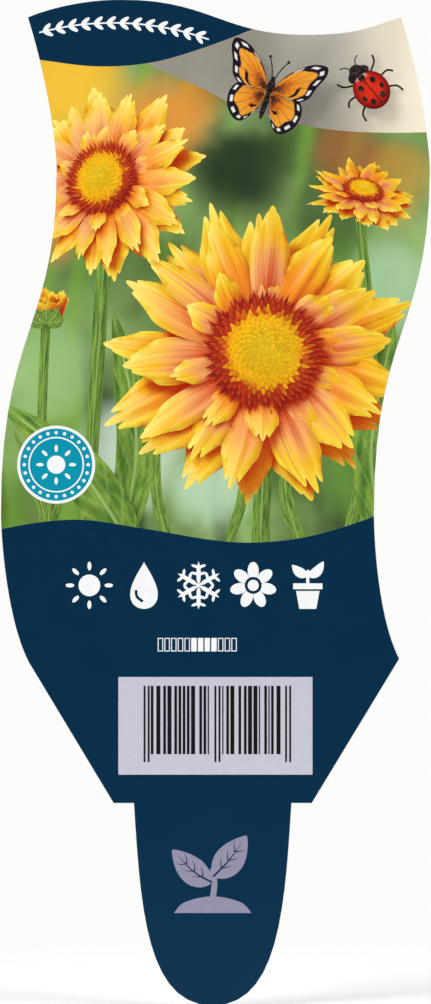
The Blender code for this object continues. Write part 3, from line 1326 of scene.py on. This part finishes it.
def lay_seedling(centre, depth):
    """The emblem on the stake: a seedling with two broad leaves on a mound of soil."""
    mound = [(-6.6, -6.6), (-5.0, -4.9), (-1.6, -3.9), (1.6, -3.9), (5.0, -4.9), (6.6, -6.6)]
    lay_flat(placed(swept(mound), centre), "lilac_grey_ink", depth)
    lay_line(placed([(0, -4.2), (0.3, -1.5), (0, 1.0)], centre), 0.5, "lilac_grey_ink", depth)
    leaves = [
        (-1, [(0.1, -1.4), (3.2, 0.4), (6.9, 4.2)], 2.3),
        (1, [(0.1, -0.4), (2.8, 2.4), (5.8, 6.6)], 2.5),
    ]
    for side, spine, width in leaves:
        leaf = placed(spine, centre, 0.0, 1.0, side)
        lay_line(leaf, width, "lilac_grey_ink", depth, leafy, 40)
        start, middle, tip = (np.array(point) for point in leaf)
        rib = [start, middle, middle * 0.25 + tip * 0.75]
        lay_line(rib, 0.17, "navy_ink", depth - 0.3, pointed)
        ahead = (tip - start) / np.linalg.norm(tip - start)
        for share in (0.25, 0.45, 0.65):
            foot = start * (1 - share) ** 2 + middle * 2 * share * (1 - share) + tip * share**2
            for flank in (1, -1):
                aside = np.array([-ahead[1], ahead[0]]) * flank
                vein = [foot, foot + ahead * 0.7 + aside * 0.7, foot + ahead * 1.5 + aside * 1.15]
                lay_line(vein, 0.11, "navy_ink", depth - 0.3, pointed, 8)


# The garden, the two navy fields and the pale strip
FIELD_TOP = [
    (-44, 44.0), (-35.9, 46.7), (-23.6, 48.3), (-11.9, 46.8), (-0.6, 44.9), (7.3, 44.4), (16.7, 45.5),
    (27.4, 48.8), (40, 54.0),
]
CAP_FOOT = [
    (-40, 128.2), (-29.4, 126.6), (-20.0, 125.5), (-11.4, 126.0), (-3.5, 128.0), (7.0, 131.9), (16, 136.0),
]
STRIP_FOOT = [
    (-11.4, 126.0), (-1.7, 121.7), (3.6, 119.0), (10.6, 116.6), (19.5, 114.8), (29.0, 114.2), (42.0, 114.4),
]
lay_flat(box(-60, 60, -50, 160), "garden_ink", GARDEN_DEPTH)
lay_flat(swept(FIELD_TOP) + [(60, 54), (60, -60), (-60, -60), (-60, 44)], "navy_ink", FIELD_DEPTH)
lay_flat(swept(CAP_FOOT) + [(30, 160), (-60, 160), (-60, 128)], "navy_ink", FIELD_DEPTH)
lay_flat(swept(STRIP_FOOT) + [(60, 114.4), (60, 160), (-11.4, 160)], "strip_ink", STRIP_DEPTH)

# Stems, leaves and grass: for each its line, half width, profile, depths, fold and tone
GREENERY = [
    ([(8, 40), (8.5, 55), (9, 72)], 1.5, even, [22, 10], 0.8, 0.75),
    ([(-22, 40), (-20, 70), (-18, 100)], 1.2, even, [26, 14], 0.8, 0.6),
    ([(23, 40), (28, 60), (25, 100)], 0.9, even, [26, 20], 0.8, 0.6),
    ([(30, 40), (27, 60), (31, 82)], 3.6, leafy, [24, 20, 26], 0.35, 0.3),
    ([(-12, 40), (-22, 56), (-36, 68)], 4.2, leafy, [20, 16, 22], 0.35, 0.7),
    ([(-16, 42), (-13, 62), (-17, 84)], 3.4, leafy, [22, 18, 24], -0.3, 0.45),
    ([(-31, 40), (-26.5, 52), (-27, 64)], 1.1, leafy, [30, 28], 0.5, 0.35),
    ([(-6, 40), (-9.5, 52), (-9, 64)], 1.0, leafy, [30, 28], 0.5, 0.55),
    ([(1, 40), (5, 52), (5, 64)], 0.9, leafy, [30, 28], 0.5, 0.25),
    ([(17, 40), (12.5, 52), (13, 64)], 1.2, leafy, [30, 28], 0.5, 0.45),
    ([(21, 40), (24.5, 52), (25, 64)], 0.9, leafy, [30, 28], 0.5, 0.6),
    ([(-27, 40), (-29.5, 52), (-34, 64)], 1.0, leafy, [30, 28], 0.5, 0.5),
    ([(-27, 40), (-29, 62), (-28.4, 82)], 0.8, even, [30, 24], 0.8, 0.7),
]
for spine, half_width, profile, depths, fold, tone in GREENERY:
    collage.lay(blade(spine, half_width, profile, depths, "leaf_ink", fold, tone))

lay_bud((-28.4, 24.0, 82.0), 0.62, (-1.35, 0.0, 0.0), 5)
lay_bloom((8.5, -4.0, 76.5), 1.14, (-0.20, 0.0, 0.14), 0.3, 3)
lay_bloom((-18.5, 6.0, 106.0), 0.74, (-0.35, 0.0, -0.45), 1.1, 11)
lay_bloom((25.5, 14.0, 104.0), 0.40, (-0.95, 0.0, 0.35), 0.5, 29)
lay_butterfly((9.4, 120.6), -0.32, 0.82)
lay_ladybird((26.8, 121.8), 0.7, 0.98)

# A garland along an arc on the cap, with leaves on both sides
GARLAND_CENTRE = (-17.0, 84.0)
GARLAND_RADIUS = 48.9
turns = [1.83 - step * 0.1 for step in range(7)]
arc = [(GARLAND_RADIUS * cos(turn), GARLAND_RADIUS * sin(turn)) for turn in turns]
lay_line(placed(arc, GARLAND_CENTRE), 0.13, "white_ink", MARK_DEPTH, even, 60)
for turn, offset in ((0.95, -0.5), (-0.95, 0.5)):
    leaves = {"Count": 13, "First": 1.262, "Step": 0.0449, "Length": 1.9, "Width": 0.72, "Turn": turn}
    lay_marks(WHITE_MARKS, GARLAND_CENTRE, MARK_DEPTH, Radius=GARLAND_RADIUS + offset, Corners=16, **leaves)

# Five signs of care
SIGN_START = (-21.0, 37.1)
SIGN_PITCH = 9.3
for number, lay_sign in enumerate((lay_sun, lay_drop, lay_snowflake, lay_flower, lay_pot)):
    lay_sign((SIGN_START[0] + SIGN_PITCH * number, SIGN_START[1]), MARK_DEPTH)

# Twelve months, of which four are filled
MONTH_START = (-8.9, 27.0)
MONTH_PITCH = 1.14
lay_marks(WHITE_BOXES, MONTH_START, MARK_DEPTH, Count=12, Pitch=MONTH_PITCH, Width=0.92, Height=2.3)
for first, count in ((0, 5), (9, 3)):
    place = (MONTH_START[0] + first * MONTH_PITCH, MONTH_START[1])
    lay_marks(NAVY_BOXES, place, FINE_MARK_DEPTH, Count=count, Pitch=MONTH_PITCH, Width=0.62, Height=2.0)

# A teal badge with white rings, a ring of dots and a sun
BADGE = (-26.65, 57.66)
for number, radius in enumerate((6.65, 6.15, 4.75, 4.5)):
    lay_disc(BADGE, radius, "teal_ink" if number % 2 else "white_ink", MARK_DEPTH - 0.3 * number, 64)
dots = {"Count": 24, "Radius": 5.45, "Step": pi / 12, "Length": 0.6, "Width": 0.6, "Corners": 10}
lay_marks(WHITE_MARKS, BADGE, MARK_DEPTH - 0.6, **dots)
lay_sun(BADGE, MARK_DEPTH - 1.2, 0.84)

lay_seedling((0.0, -12.1), MARK_DEPTH)

# The code panel, with bars that stand for no number
lay_flat(box(-16.07, 17.0, 4.86, 21.5), "lilac_ink", MARK_DEPTH)
for left, seed in ((-10.55, 5), (1.62, 8)):
    lay_marks(BARS, (left, 14.17), FINE_MARK_DEPTH, Count=12, Width=10.4, Height=11.65, Seed=seed)
for left in (-11.6, 0.46, 12.5):
    lay_marks(DARK_BOXES, (left, 13.5), FINE_MARK_DEPTH, Count=2, Pitch=0.7, Width=0.34, Height=13.0)

label = label_piece(collage, cut_outline("label"))
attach(label, "root")
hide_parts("label")


# Floor, light and camera

CAMERA_LENS = 200.0
SENSOR = 36.0
PHOTO_HEIGHT = 171.08
PHOTO_CENTRE = (0.48, 51.3)


def photo_camera():
    """Looks straight at the front, from where the photograph's height fills the frame."""
    data = bpy.data.cameras.new("photo_camera")
    data.lens = CAMERA_LENS
    data.sensor_width = SENSOR
    camera = bpy.data.objects.new("photo_camera", data)
    bpy.context.scene.collection.objects.link(camera)
    away = PHOTO_HEIGHT * MM * CAMERA_LENS / SENSOR
    camera.location = (PHOTO_CENTRE[0] * MM, -away, PHOTO_CENTRE[1] * MM)
    camera.rotation_euler = (radians(90), 0, 0)
    bpy.context.scene.camera = camera


def soft_light(name, place, size, watts):
    data = bpy.data.lights.new(name, "AREA")
    data.size = size
    data.energy = watts
    light = bpy.data.objects.new(name, data)
    light.location = place
    light.rotation_euler = (Vector(place) - Vector((0, 0, 0.05))).to_track_quat("Z", "Y").to_euler()
    bpy.context.scene.collection.objects.link(light)


def pale_world():
    """A room that is white behind the label and pale grey elsewhere, and dimmer as a light than it looks."""
    world = bpy.data.worlds.new("pale_room")
    world.use_nodes = True
    bpy.context.scene.world = world
    board = Board(world.node_tree)
    room = world.node_tree.nodes["Background"]
    seen = board.add("ShaderNodeLightPath")
    x, y, z = board.split(board.add("ShaderNodeTexCoord", None, None, 0))
    around = board.mixed(srgb(204, 207, 210), srgb(252, 252, 250), y.ramp(0.7, 0.97))
    board.feed(room.inputs["Color"], around)
    glossy = seen.beside("Is Glossy Ray")
    board.feed(room.inputs["Strength"], seen + (1.0 - seen) * (0.56 - glossy * 0.45))


def floor_material():
    """A matt pale floor that fades out away from the label."""
    material = bpy.data.materials.new("pale_floor")
    material.use_nodes = True
    board = Board(material.node_tree)
    surface = material.node_tree.nodes["Principled BSDF"]
    surface.inputs["Base Color"].default_value = srgb(244, 244, 243)
    surface.inputs["Roughness"].default_value = 0.9
    x, y, z = board.split(board.add("ShaderNodeTexCoord", None, None, 3))
    fade = ((x * x + y * y) ** 0.5).ramp(0.03, 0.15)
    clear = board.add("ShaderNodeBsdfTransparent")
    blend = board.add("ShaderNodeMixShader", None, {0: fade, 1: Wire(board, surface.outputs[0]), 2: clear})
    board.feed(material.node_tree.nodes["Material Output"].inputs["Surface"], blend)
    return material


def pale_floor():
    bpy.ops.mesh.primitive_circle_add(vertices=96, radius=0.3, fill_type="NGON")
    floor = bpy.context.object
    floor.name = "floor"
    floor.location.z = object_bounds()[0][2] - 0.0002
    floor.data.materials.append(floor_material())
    floor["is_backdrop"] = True


photo_camera()
pale_world()
pale_floor()
soft_light("left_softbox", (-0.7, -0.6, 0.55), 0.5, 6.9)
soft_light("right_softbox", (0.8, -0.5, 0.45), 0.5, 5.4)
soft_light("back_softbox", (0.2, 0.9, 0.6), 0.6, 6.5)
bpy.context.scene.view_settings.view_transform = "Standard"
